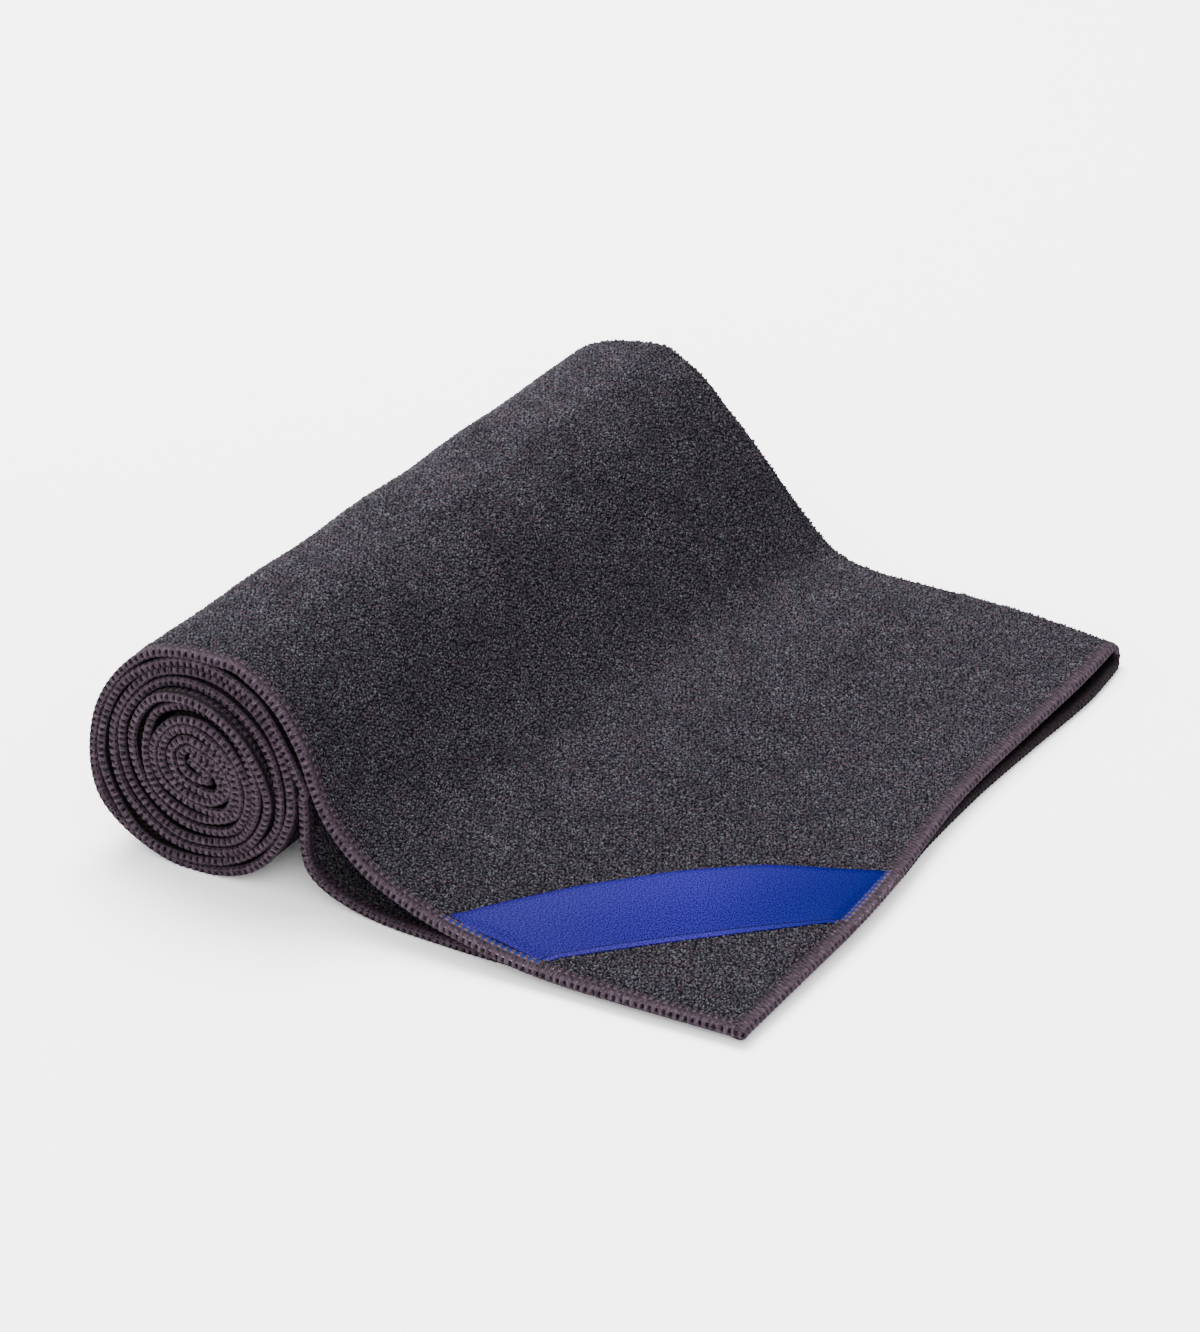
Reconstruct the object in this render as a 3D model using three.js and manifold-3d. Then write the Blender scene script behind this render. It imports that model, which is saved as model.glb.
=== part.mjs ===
// A hair towel, folded once along its length and rolled up, with its last stretch lying open.
// Millimetres, +Z up. X runs across the roll towards the open end, Y along the roll from the
// serged edges to the fold. The origin is under the middle of the whole towel, on the table.

import * as THREE from 'three';
import Module from 'manifold-3d';

const clothThickness = 2.4;
const hemWidth = 4.5;
const hemExtra = 0.35;            // how far the serged edge stands above the cloth
const rollLength = 240;           // the towel's folded width
const rollCentre = 33;            // height of the roll's middle
const rollRim = 2.5;              // rounding of the roll's two end rims
const coreProud = 4.5;            // how far the inner turns stick out of the near end
const turnGap = 1.0;              // open line between two turns at the ends
const turnDepth = 4.5;            // how deep that line is
const ribbonThickness = 1.0;
const ribbonClear = 0.5;          // between the ribbon and the cloth
const ribbonLift = 4;             // how far the ribbon's inner edge arches off the cloth

// Outline of the roll about its middle, every 22.5 degrees from the open side, at both ends.
const outlineStep = 22.5;
const rollOutline = [
  { near: 35.2, far: 31.0 },
  { near: 32.4, far: 30.6 },
  { near: 30.6, far: 31.0 },
  { near: 31.8, far: 32.2 },
  { near: 33.0, far: 32.6 },
  { near: 31.9, far: 31.2 },
  { near: 31.3, far: 30.4 },
  { near: 31.8, far: 30.6 },
  { near: 32.2, far: 30.7 },
  { near: 34.2, far: 31.8 },
  { near: 35.2, far: 32.9 },
  { near: 33.0, far: 32.4 },
  { near: 33.4, far: 33.4 },
  { near: 34.6, far: 33.4 },
  { near: 35.2, far: 32.6 },
  { near: 36.3, far: 31.6 },
];

// Where one double turn ends and the next begins, and where its two layers meet, measured from
// the roll's middle to the right, up, left and down.
const turnBoundary = [
  { right: 37.0, up: 34.6, left: 34.6, down: 36.0 },
  { right: 31.6, up: 29.1, left: 26.5, down: 26.8 },
  { right: 24.3, up: 22.6, left: 20.8, down: 20.7 },
  { right: 17.5, up: 15.6, left: 13.2, down: 14.0 },
  { right: 12.5, up: 7.5, left: 8.0, down: 9.5 },
];
const layerBoundary = [
  { right: 34.0, up: 31.4, left: 29.2, down: 30.3 },
  { right: 28.2, up: 26.3, left: 23.8, down: 24.0 },
  { right: 20.4, up: 18.0, left: 17.0, down: 17.4 },
  { right: 15.0, up: 11.5, left: 10.7, down: 11.5 },
  { right: 10.0, up: 4.5, left: 5.0, down: 6.5 },
];
const nearTurns = { from: 332, to: 1700 };
const nearLayers = { from: 80, to: 1660 };
const farTurns = { from: 352, to: 1640 };

// Lines across the open stretch, from the top of the roll to the towel's end. The towel is two
// layers joined by the fold at the far side. top and under are the middle lines of the two
// layers at their near hems, with edge as the hem's place along Y, fold is the middle of the
// rounded fold, with loop as half the distance between the layers there, and hump is how far
// the top layer billows between its hem and the fold.
const openRows = [
  { topX: 7.0, topZ: 61.2, topEdge: 4.0, hump: 0.0, foldX: 7.0, foldZ: 59.6, loop: 1.5,
    underX: 32.9, underZ: 36.0, underEdge: 0.8 },
  { topX: 16.5, topZ: 59.8, topEdge: 3.6, hump: 0.0, foldX: 15.0, foldZ: 59.0, loop: 1.5,
    underX: 33.8, underZ: 31.0, underEdge: 0.8 },
  { topX: 25.0, topZ: 54.6, topEdge: 2.8, hump: 0.4, foldX: 23.0, foldZ: 55.6, loop: 1.5,
    underX: 34.2, underZ: 26.0, underEdge: 0.8 },
  { topX: 30.5, topZ: 48.6, topEdge: 1.8, hump: 0.8, foldX: 30.0, foldZ: 49.6, loop: 1.6,
    underX: 34.2, underZ: 20.5, underEdge: 0.8 },
  { topX: 34.3, topZ: 42.8, topEdge: 1.0, hump: 1.2, foldX: 37.0, foldZ: 42.8, loop: 1.8,
    underX: 34.4, underZ: 15.0, underEdge: 0.9 },
  { topX: 37.8, topZ: 34.9, topEdge: 0.2, hump: 2.0, foldX: 44.2, foldZ: 35.0, loop: 2.0,
    underX: 36.2, underZ: 9.9, underEdge: 1.2 },
  { topX: 42.0, topZ: 28.4, topEdge: -0.8, hump: 2.8, foldX: 51.0, foldZ: 27.2, loop: 2.2,
    underX: 40.2, underZ: 5.9, underEdge: 1.8 },
  { topX: 48.0, topZ: 22.0, topEdge: -1.5, hump: 3.6, foldX: 57.8, foldZ: 19.4, loop: 2.6,
    underX: 45.8, underZ: 3.2, underEdge: 2.4 },
  { topX: 55.5, topZ: 16.4, topEdge: -2.0, hump: 4.2, foldX: 64.3, foldZ: 12.4, loop: 2.8,
    underX: 52.5, underZ: 1.6, underEdge: 3.0 },
  { topX: 65.0, topZ: 12.6, topEdge: -2.6, hump: 4.8, foldX: 71.0, foldZ: 7.4, loop: 2.8,
    underX: 62.0, underZ: 1.2, underEdge: 2.2 },
  { topX: 76.0, topZ: 9.4, topEdge: -3.0, hump: 5.4, foldX: 80.5, foldZ: 4.7, loop: 2.8,
    underX: 74.0, underZ: 1.2, underEdge: 1.8 },
  { topX: 88.0, topZ: 6.9, topEdge: -3.0, hump: 5.8, foldX: 92.0, foldZ: 4.0, loop: 2.8,
    underX: 88.0, underZ: 1.2, underEdge: 1.8 },
  { topX: 100.0, topZ: 5.0, topEdge: -3.0, hump: 5.6, foldX: 104.0, foldZ: 4.0, loop: 2.8,
    underX: 101.0, underZ: 1.2, underEdge: 2.4 },
  { topX: 113.0, topZ: 3.8, topEdge: -3.0, hump: 4.6, foldX: 117.0, foldZ: 4.0, loop: 2.8,
    underX: 115.0, underZ: 1.2, underEdge: 3.4 },
  { topX: 130.0, topZ: 3.5, topEdge: -3.0, hump: 2.9, foldX: 133.0, foldZ: 3.9, loop: 2.7,
    underX: 132.0, underZ: 1.2, underEdge: 4.0 },
  { topX: 148.0, topZ: 3.4, topEdge: -2.8, hump: 1.8, foldX: 149.5, foldZ: 3.7, loop: 2.5,
    underX: 149.0, underZ: 1.2, underEdge: 4.0 },
  { topX: 167.0, topZ: 3.4, topEdge: -2.4, hump: 1.4, foldX: 166.0, foldZ: 3.4, loop: 2.2,
    underX: 165.5, underZ: 1.2, underEdge: 4.0 },
];
const foldEdge = { roll: 238.5, end: 236 };   // Y of the fold's outermost line
const firstFlatRow = 9;                       // from here on the layer under lies on the table

// The ribbon's two long edges run from the near hem to the end hem at 45 degrees.
const ribbonCorners = {
  outer: { fromX: 107.5, fromY: 2.2, toX: 161.8, toY: 56.5 },
  inner: { fromX: 78.0, fromY: 2.2, toX: 161.8, toY: 86.0 },
};

const wasm = await Module();
wasm.setup();

// A value between a and b on the smooth curve that also passes before and after.
function smooth(before, a, b, after, t) {
  const pull = (b - before) * t + (2 * before - 5 * a + 4 * b - after) * t * t
    + (3 * (a - b) + after - before) * t * t * t;
  return a + pull / 2;
}

// One column of an open table, as a smooth function of the row number.
function column(rows, name, at) {
  const last = rows.length - 1;
  const row = Math.min(Math.max(Math.floor(at), 0), last - 1);
  const value = (k) => rows[Math.min(Math.max(k, 0), last)][name];
  return smooth(value(row - 1), value(row), value(row + 1), value(row + 2), at - row);
}

// The same for a table that closes on itself.
function ringColumn(rows, name, at) {
  const row = Math.floor(at);
  const value = (k) => rows[((k % rows.length) + rows.length) % rows.length][name];
  return smooth(value(row - 1), value(row), value(row + 1), value(row + 2), at - row);
}

// Distance of a spiral from the roll's middle at an angle that keeps counting over the turns.
function spiralRadius(turns, degrees) {
  const knots = turns.flatMap(({ right, up, left, down }) => [right, up, left, down]);
  const rows = knots.map((radius) => ({ radius }));
  return column(rows, 'radius', degrees / 90);
}

function rollPoint(degrees, radius, y) {
  const angle = THREE.MathUtils.degToRad(degrees);
  const z = Math.max(0, rollCentre + radius * Math.sin(angle));
  return new THREE.Vector3(radius * Math.cos(angle), y, z);
}

// A closed body from its points and triangles, with the faces pointing out.
function solid(points, triangles) {
  const volume = triangles.reduce((sum, [a, b, c]) => {
    const normal = new THREE.Vector3().crossVectors(points[b], points[c]);
    return sum + points[a].dot(normal);
  }, 0);
  const faces = volume < 0 ? triangles.map(([a, b, c]) => [a, c, b]) : triangles;
  return new wasm.Manifold(new wasm.Mesh({
    numProp: 3,
    vertProperties: new Float32Array(points.flatMap((p) => [p.x, p.y, p.z])),
    triVerts: new Uint32Array(faces.flat()),
  }));
}

// A body through closed rings of points, with a flat fan over each end.
function loft(rings) {
  const count = rings[0].length;
  const points = rings.flat();
  const triangles = [];
  for (let ring = 0; ring < rings.length - 1; ring += 1) {
    for (let k = 0; k < count; k += 1) {
      const a = ring * count + k;
      const b = ring * count + ((k + 1) % count);
      triangles.push([a, b, b + count], [a, b + count, a + count]);
    }
  }
  for (const [ring, flip] of [[0, true], [rings.length - 1, false]]) {
    const middle = rings[ring].reduce((sum, p) => sum.add(p), new THREE.Vector3());
    points.push(middle.divideScalar(count));
    for (let k = 0; k < count; k += 1) {
      const a = ring * count + k;
      const b = ring * count + ((k + 1) % count);
      triangles.push(flip ? [b, a, points.length - 1] : [a, b, points.length - 1]);
    }
  }
  return solid(points, triangles);
}

// A sheet between an upper and a lower grid of points.
function sheet(upper, lower) {
  const rows = upper.length;
  const columns = upper[0].length;
  const points = [...upper.flat(), ...lower.flat()];
  const top = (i, j) => i * columns + j;
  const bottom = (i, j) => rows * columns + i * columns + j;
  const triangles = [];
  const quad = (a, b, c, d) => triangles.push([a, b, c], [a, c, d]);
  for (let i = 0; i < rows - 1; i += 1) {
    for (let j = 0; j < columns - 1; j += 1) {
      quad(top(i, j), top(i + 1, j), top(i + 1, j + 1), top(i, j + 1));
      quad(bottom(i, j), bottom(i, j + 1), bottom(i + 1, j + 1), bottom(i + 1, j));
    }
    quad(top(i, 0), bottom(i, 0), bottom(i + 1, 0), top(i + 1, 0));
    const end = columns - 1;
    quad(top(i, end), top(i + 1, end), bottom(i + 1, end), bottom(i, end));
  }
  for (let j = 0; j < columns - 1; j += 1) {
    quad(top(0, j), top(0, j + 1), bottom(0, j + 1), bottom(0, j));
    const end = rows - 1;
    quad(top(end, j), bottom(end, j), bottom(end, j + 1), top(end, j + 1));
  }
  return solid(points, triangles);
}

// The wound form of all turns, a little smaller at the far end, resting on its flat spot.
function roll() {
  const segments = 48;
  const stations = [
    { y: 0, inset: rollRim }, { y: rollRim, inset: 0 }, { y: 45, inset: 0 },
    { y: 90, inset: 0.4 }, { y: 135, inset: -0.3 }, { y: 180, inset: 0.3 },
    { y: rollLength - 10, inset: 0 }, { y: rollLength - rollRim, inset: 0.3 },
    { y: rollLength, inset: rollRim },
  ];
  return loft(stations.map(({ y, inset }) => Array.from({ length: segments }, (_, k) => {
    const degrees = (k * 360) / segments;
    const near = ringColumn(rollOutline, 'near', degrees / outlineStep);
    const far = ringColumn(rollOutline, 'far', degrees / outlineStep);
    const radius = THREE.MathUtils.lerp(near, far, y / rollLength) - inset;
    return rollPoint(degrees, radius, y);
  })));
}

// The inner turns, which stick out of the near end in one step.
function core() {
  const segments = 40;
  const outer = turnBoundary[2];
  const rows = [outer.right, outer.up, outer.left, outer.down].map((radius) => ({ radius }));
  const stations = [
    { y: -coreProud, inset: 2.0 }, { y: 1.2 - coreProud, inset: 0.6 }, { y: 10, inset: 0.6 },
  ];
  return loft(stations.map(({ y, inset }) => Array.from({ length: segments }, (_, k) => {
    const degrees = (k * 360) / segments;
    return rollPoint(degrees, ringColumn(rows, 'radius', degrees / 90) - inset, y);
  })));
}

// The open line between turns, as a thin wall along the spiral that is cut from an end.
function spiralGap(turns, { from, to }, start, floor) {
  const step = 15;
  const count = Math.ceil((to - from) / step) + 1;
  const side = (sign) => Array.from({ length: count }, (_, k) => {
    const degrees = from + ((to - from) * k) / (count - 1);
    const radius = spiralRadius(turns, degrees);
    const inside = radius < turnBoundary[2].left + 1;
    return [start, floor(inside)].map((y) => rollPoint(degrees, radius + (sign * turnGap) / 2, y));
  });
  return sheet(side(1), side(-1));
}

// Share of the way from the near hem to the fold for each line of points on a layer.
const hemStep = 0.5;
const acrossHem = [0, hemWidth, hemWidth + hemStep].map((y) => y / rollLength);
const acrossLayer = [...acrossHem, 0.075, 0.17, 0.32, 0.5, 0.68, 0.85, 1];

function rowValues(at) {
  const names = Object.keys(openRows[0]);
  return Object.fromEntries(names.map((name) => [name, column(openRows, name, at)]));
}

// Unit vector square to the fold's line, up and away from the roll.
function foldNormal(at) {
  const ahead = rowValues(Math.min(at + 0.25, openRows.length - 1));
  const behind = rowValues(Math.max(at - 0.25, 0));
  const along = new THREE.Vector3(ahead.foldX - behind.foldX, 0, ahead.foldZ - behind.foldZ);
  return new THREE.Vector3(-along.z, 0, along.x).normalize();
}

function foldY(at) {
  return THREE.MathUtils.lerp(foldEdge.roll, foldEdge.end, at / (openRows.length - 1));
}

// A point on the middle surface of the top layer (side 1) or the layer under it (side -1).
function layerPoint(at, share, side) {
  const row = rowValues(at);
  const hem = side > 0
    ? new THREE.Vector3(row.topX, row.topEdge, row.topZ)
    : new THREE.Vector3(row.underX, row.underEdge, row.underZ);
  const far = new THREE.Vector3(row.foldX, foldY(at) - row.loop - clothThickness / 2, row.foldZ)
    .addScaledVector(foldNormal(at), side * row.loop);
  const point = hem.lerp(far, share);
  if (side > 0) point.z += row.hump * Math.sqrt(Math.sin(Math.PI * share));
  return point;
}

// Middle line of the cloth across one row: top layer, round the fold, layer under it.
function acrossRow(at) {
  const row = rowValues(at);
  const topLine = acrossLayer.map((share) => layerPoint(at, share, 1));
  const underLine = acrossLayer.map((share) => layerPoint(at, share, -1)).reverse();
  const middle = topLine.at(-1).clone().add(underLine[0]).multiplyScalar(0.5);
  const bend = [45, 90, 135].map((degrees) => {
    const angle = THREE.MathUtils.degToRad(degrees);
    return middle.clone()
      .addScaledVector(foldNormal(at), row.loop * Math.cos(angle))
      .add(new THREE.Vector3(0, row.loop * Math.sin(angle), 0));
  });
  return [...topLine, ...bend, ...underLine];
}

// The loose end: both layers and the fold that joins them, one sheet with its serged hems.
function openEnd() {
  const lastRow = openRows.length - 1;
  const hemRow = (width) => lastRow - width / (openRows[lastRow].topX - openRows[lastRow - 1].topX);
  const stops = openRows.slice(0, lastRow).map((_, k) => k);
  const rowsAt = [...stops, hemRow(hemWidth + hemStep), hemRow(hemWidth), lastRow];
  const grid = rowsAt.map(acrossRow);
  const inHem = (i, j) => i >= rowsAt.length - 2 || j < 2 || j > grid[0].length - 3;
  const offset = (i, j, side) => {
    const along = grid[Math.min(i + 1, grid.length - 1)][j].clone()
      .sub(grid[Math.max(i - 1, 0)][j]);
    const across = grid[i][Math.min(j + 1, grid[0].length - 1)].clone()
      .sub(grid[i][Math.max(j - 1, 0)]);
    const normal = along.cross(across).normalize();
    const onTop = j < acrossLayer.length;
    const extra = inHem(i, j) && onTop && side > 0 ? hemExtra : 0;
    const point = grid[i][j].clone().addScaledVector(normal, side * (clothThickness / 2 + extra));
    const onTable = !onTop && rowsAt[i] >= firstFlatRow && point.z < clothThickness / 4;
    if (onTable || point.z < 0) point.z = 0;
    return point;
  };
  const face = (side) => grid.map((line, i) => line.map((_, j) => offset(i, j, side)));
  return sheet(face(1), face(-1));
}

// Height of the top layer's upper face at a place on the open end.
function clothTop(x, y) {
  const halvings = 30;
  let low = firstFlatRow - 1;
  let high = openRows.length - 1;
  let share = 0;
  for (let k = 0; k < halvings; k += 1) {
    const at = (low + high) / 2;
    const row = rowValues(at);
    const far = foldY(at) - row.loop - clothThickness / 2;
    share = THREE.MathUtils.clamp((y - row.topEdge) / (far - row.topEdge), 0, 1);
    if (layerPoint(at, share, 1).x < x) low = at;
    else high = at;
  }
  return layerPoint((low + high) / 2, share, 1).z + clothThickness / 2;
}

// The ribbon across the corner: it lies on the cloth along its outer edge and arches off it
// along the inner one.
function ribbon() {
  const steps = { along: 20, across: 4 };
  const edge = ({ fromX, fromY, toX, toY }, u) => new THREE.Vector3(
    THREE.MathUtils.lerp(fromX, toX, u), THREE.MathUtils.lerp(fromY, toY, u), 0);
  const face = (height) => Array.from({ length: steps.along + 1 }, (_, i) => {
    const u = i / steps.along;
    return Array.from({ length: steps.across + 1 }, (__, j) => {
      const v = j / steps.across;
      const point = edge(ribbonCorners.outer, u).lerp(edge(ribbonCorners.inner, u), v);
      const arch = ribbonLift * Math.sin(Math.PI * u) * v;
      point.z = clothTop(point.x, point.y) + ribbonClear + arch + height;
      return point;
    });
  });
  return sheet(face(ribbonThickness), face(0));
}

// A named mesh of one solid.
function piece(name, body, material) {
  const { numProp, vertProperties, triVerts } = body.getMesh();
  const positions = [];
  for (let k = 0; k < vertProperties.length; k += numProp) {
    positions.push(...vertProperties.slice(k, k + 3));
  }
  const geometry = new THREE.BufferGeometry();
  geometry.setAttribute('position', new THREE.Float32BufferAttribute(positions, 3));
  geometry.setIndex(new THREE.BufferAttribute(new Uint32Array(triVerts), 1));
  geometry.computeVertexNormals();
  const mesh = new THREE.Mesh(geometry, material);
  mesh.name = name;
  return mesh;
}

// The whole towel in one piece: the wound form with its open lines, and the loose end.
function towel() {
  const nearFloor = (inside) => (inside ? turnDepth - coreProud : turnDepth);
  const farFloor = () => rollLength - turnDepth;
  const past = 12;
  const wound = roll()
    .add(core())
    .subtract(spiralGap(turnBoundary, nearTurns, -past, nearFloor))
    .subtract(spiralGap(layerBoundary, nearLayers, -past, nearFloor))
    .subtract(spiralGap(turnBoundary, farTurns, rollLength + past, farFloor));
  // Air pockets that are shut in where the loose end leaves the roll count as cloth.
  const shells = wound.add(openEnd()).decompose();
  return shells.sort((a, b) => b.volume() - a.volume())[0];
}

const terry = new THREE.MeshStandardMaterial({ color: 0x47434c, roughness: 0.95, metalness: 0 });
const satin = new THREE.MeshStandardMaterial({ color: 0x2b44a2, roughness: 0.5, metalness: 0 });

const group = new THREE.Group();
group.add(piece('towel', towel(), terry));
group.add(piece('label', ribbon(), satin));

// The measures above count from the roll's near end. The group's own frame is under its middle.
const box = new THREE.Box3().setFromObject(group);
const middle = box.getCenter(new THREE.Vector3());
for (const mesh of group.children) mesh.position.set(-middle.x, -middle.y, -box.min.z);

export default group;
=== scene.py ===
"""A rolled hair towel on a pale table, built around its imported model, in metres."""

import math

import bpy
import numpy as np
from mathutils import Matrix, Vector


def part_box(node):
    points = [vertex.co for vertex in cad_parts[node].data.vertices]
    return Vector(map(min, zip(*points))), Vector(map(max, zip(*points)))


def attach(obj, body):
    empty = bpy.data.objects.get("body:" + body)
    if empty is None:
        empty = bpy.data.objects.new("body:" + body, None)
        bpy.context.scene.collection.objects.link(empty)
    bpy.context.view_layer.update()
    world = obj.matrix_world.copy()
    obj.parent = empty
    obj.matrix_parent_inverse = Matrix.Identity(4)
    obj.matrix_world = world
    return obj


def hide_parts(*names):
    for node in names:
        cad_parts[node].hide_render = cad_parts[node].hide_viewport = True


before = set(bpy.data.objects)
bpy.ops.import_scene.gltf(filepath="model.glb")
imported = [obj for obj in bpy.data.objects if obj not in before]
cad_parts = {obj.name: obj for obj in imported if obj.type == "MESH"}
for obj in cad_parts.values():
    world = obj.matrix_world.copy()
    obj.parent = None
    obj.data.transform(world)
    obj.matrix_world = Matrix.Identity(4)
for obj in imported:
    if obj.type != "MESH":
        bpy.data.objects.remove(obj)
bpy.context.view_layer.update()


# Camera
# A long lens looks down on the corner between the roll's near end and the open end, from
# about a metre and a half away, and is turned a little about its own line of sight.
camera_place = Vector((0.5914, -1.0772, 0.6713))
camera_azimuth = math.radians(29.16)
camera_elevation = math.radians(27.66)
camera_roll = math.radians(0.72)
camera_lens = 135.1
camera_sensor = 36
camera_sight = 20

camera = bpy.data.objects.new("camera", bpy.data.cameras.new("camera"))
bpy.context.collection.objects.link(camera)
camera.data.lens = camera_lens
camera.data.sensor_width = camera_sensor
camera.data.clip_end = camera_sight
camera.matrix_world = (
    Matrix.Translation(camera_place)
    @ Matrix.Rotation(camera_azimuth, 4, "Z")
    @ Matrix.Rotation(math.pi / 2 - camera_elevation, 4, "X")
    @ Matrix.Rotation(camera_roll, 4, "Z")
)
bpy.context.scene.camera = camera


# Table and light
# A wide pale table under an even studio sky, with one large soft lamp high behind the roll's
# left side and a weaker one in front, so the cloth is lit from above with no hard shadow.
table_half = 4.0
table_drop = 0.0003
table_white = (0.95, 0.95, 0.95, 1)
sky_white = (1, 1, 1, 1)
sky_strength = 2.4
lamps = {
    "top_lamp": {"place": (-0.6, 0.55, 1.6), "size": 1.2, "power": 120},
    "front_lamp": {"place": (0.5, -1.3, 1.0), "size": 1.2, "power": 28},
}

table_corners = [
    (-table_half, -table_half, -table_drop),
    (table_half, -table_half, -table_drop),
    (table_half, table_half, -table_drop),
    (-table_half, table_half, -table_drop),
]
table_mesh = bpy.data.meshes.new("table")
table_mesh.from_pydata(table_corners, [], [(0, 1, 2, 3)])
table = bpy.data.objects.new("table", table_mesh)
bpy.context.collection.objects.link(table)


def start_finish(name, roughness, shine=0.5):
    """A new material with its shader, ready for the nodes of its colour and grain."""
    finish = bpy.data.materials.new(name)
    finish.use_nodes = True
    shader = finish.node_tree.nodes["Principled BSDF"]
    shader.inputs["Roughness"].default_value = roughness
    shader.inputs["Specular IOR Level"].default_value = shine
    return finish, shader


table_paint, table_shader = start_finish("table paint", roughness=0.9)
table_shader.inputs["Base Color"].default_value = table_white
table_mesh.materials.append(table_paint)

sky = bpy.data.worlds.new("sky")
sky.use_nodes = True
sky.node_tree.nodes["Background"].inputs["Color"].default_value = sky_white
sky.node_tree.nodes["Background"].inputs["Strength"].default_value = sky_strength
bpy.context.scene.world = sky

for lamp_name, lamp in lamps.items():
    light = bpy.data.objects.new(lamp_name, bpy.data.lights.new(lamp_name, "AREA"))
    bpy.context.collection.objects.link(light)
    light.data.size = lamp["size"]
    light.data.energy = lamp["power"]
    light.location = lamp["place"]
    light.rotation_euler = (-Vector(lamp["place"])).to_track_quat("-Z", "Y").to_euler()


# Towel cloth
# One piece of dark looped cloth, folded once along its length and wound up from one end, with
# its last stretch lying open. Two layers run through every turn, joined by the fold at the far
# side, and each turn stands a little in front of or behind its neighbours at the near end.
mm = 0.001
cloth_thickness = 2.6 * mm
hem_thickness = 2.0 * mm           # of the cloth alone, pressed flat by its thread
hem_width = 4.5 * mm
hem_slope = 2.5 * mm               # beside the hem, where the cloth swells to its full thickness
roll_centre = 33.0 * mm
roll_length = 240.0 * mm
towel_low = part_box("towel")[0]
foot_across, foot_along = 32.5 * mm, 4.5 * mm
# All places below count from under the roll's middle at its near end. The tables are in mm.
roll_foot = np.array([towel_low.x + foot_across, towel_low.y + foot_along, towel_low.z])

# Lines across the open stretch from the towel's end to the top of the roll: the two layers'
# middle lines at their near hems, the middle of the fold, half the distance between the layers
# there, how far the top layer billows, and where along the roll each hem lies.
open_columns = (
    "top_x", "top_z", "top_edge", "hump", "fold_x", "fold_y", "fold_z", "loop",
    "under_x", "under_z", "under_edge",
)
open_rows = [
    (167.4, 2.8, -2.6, 0.4, 167.0, 237.0, 3.9, 2.6, 165.2, 1.3, 2.6),
    (148.0, 3.0, -3.4, 1.2, 150.0, 239.5, 4.0, 2.7, 148.0, 1.3, 2.2),
    (130.0, 3.1, -4.0, 2.4, 133.0, 241.5, 4.1, 2.7, 131.0, 1.3, 1.8),
    (113.0, 3.3, -4.2, 4.0, 117.0, 242.2, 4.2, 2.8, 115.0, 1.3, 1.6),
    (100.0, 4.4, -4.2, 5.6, 104.0, 242.2, 4.2, 2.8, 101.0, 1.3, 0.9),
    (88.0, 6.4, -4.0, 5.8, 92.0, 242.2, 4.2, 2.8, 88.0, 1.3, 0.5),
    (76.0, 9.0, -3.6, 5.4, 80.5, 242.0, 4.9, 2.8, 74.0, 1.3, 0.8),
    (65.0, 12.3, -2.8, 4.8, 71.0, 241.2, 7.4, 2.8, 62.0, 1.3, 1.4),
    (55.5, 16.4, -2.0, 4.2, 64.3, 240.2, 12.4, 2.8, 52.5, 1.6, 2.4),
    (48.0, 22.0, -1.5, 3.6, 57.8, 239.6, 19.4, 2.6, 45.8, 3.2, 2.4),
    (42.0, 28.4, -0.8, 2.8, 51.0, 239.4, 27.2, 2.2, 40.2, 6.0, 1.8),
    (37.8, 34.9, 0.2, 2.0, 44.2, 239.4, 35.0, 2.0, 36.2, 9.9, 1.2),
    (34.3, 42.8, 1.0, 1.2, 37.0, 239.4, 42.8, 1.8, 34.4, 15.0, 0.9),
    (30.5, 48.6, 1.8, 0.8, 30.0, 239.6, 49.6, 1.6, 34.2, 20.5, 0.8),
    (25.0, 54.8, 2.8, 0.0, 23.0, 240.0, 56.2, 1.5, 34.2, 26.0, 0.8),
    (16.5, 60.6, 3.4, -0.5, 15.0, 240.8, 60.5, 1.5, 33.9, 31.0, 0.8),
    (7.6, 63.2, 3.6, -0.7, 7.4, 241.4, 62.3, 1.5, 33.3, 36.0, 0.8),
]
open_knots = len(open_rows)
# The open end's edge is not straight. Each row holds a place along the roll, and how far the
# top layer and the one under it stand out there past their own lines.
end_bow = [
    (0, 0.3, 0.3),
    (30, 0.8, 0.8),
    (58, 1.2, 0.8),
    (78, 0.6, -0.2),
    (94, -0.8, -1.2),
    (110, -2.6, -2.8),
    (130, -4.2, -3.4),
    (150, -4.6, -3.4),
    (180, -4.0, -2.2),
    (210, -3.4, -0.8),
    (228, -3.8, -1.8),
    (243, -4.8, -3.4),
]
end_bow_reach = 4.0                # how many knots in from the end the bow dies away


def turn(right, right_up, up, left_up, left, left_down, down, right_down):
    """One turn of the spiral, every 45 degrees from the open side and up over the roll."""
    return [right, right_up, up, left_up, left, left_down, down, right_down]


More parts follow.
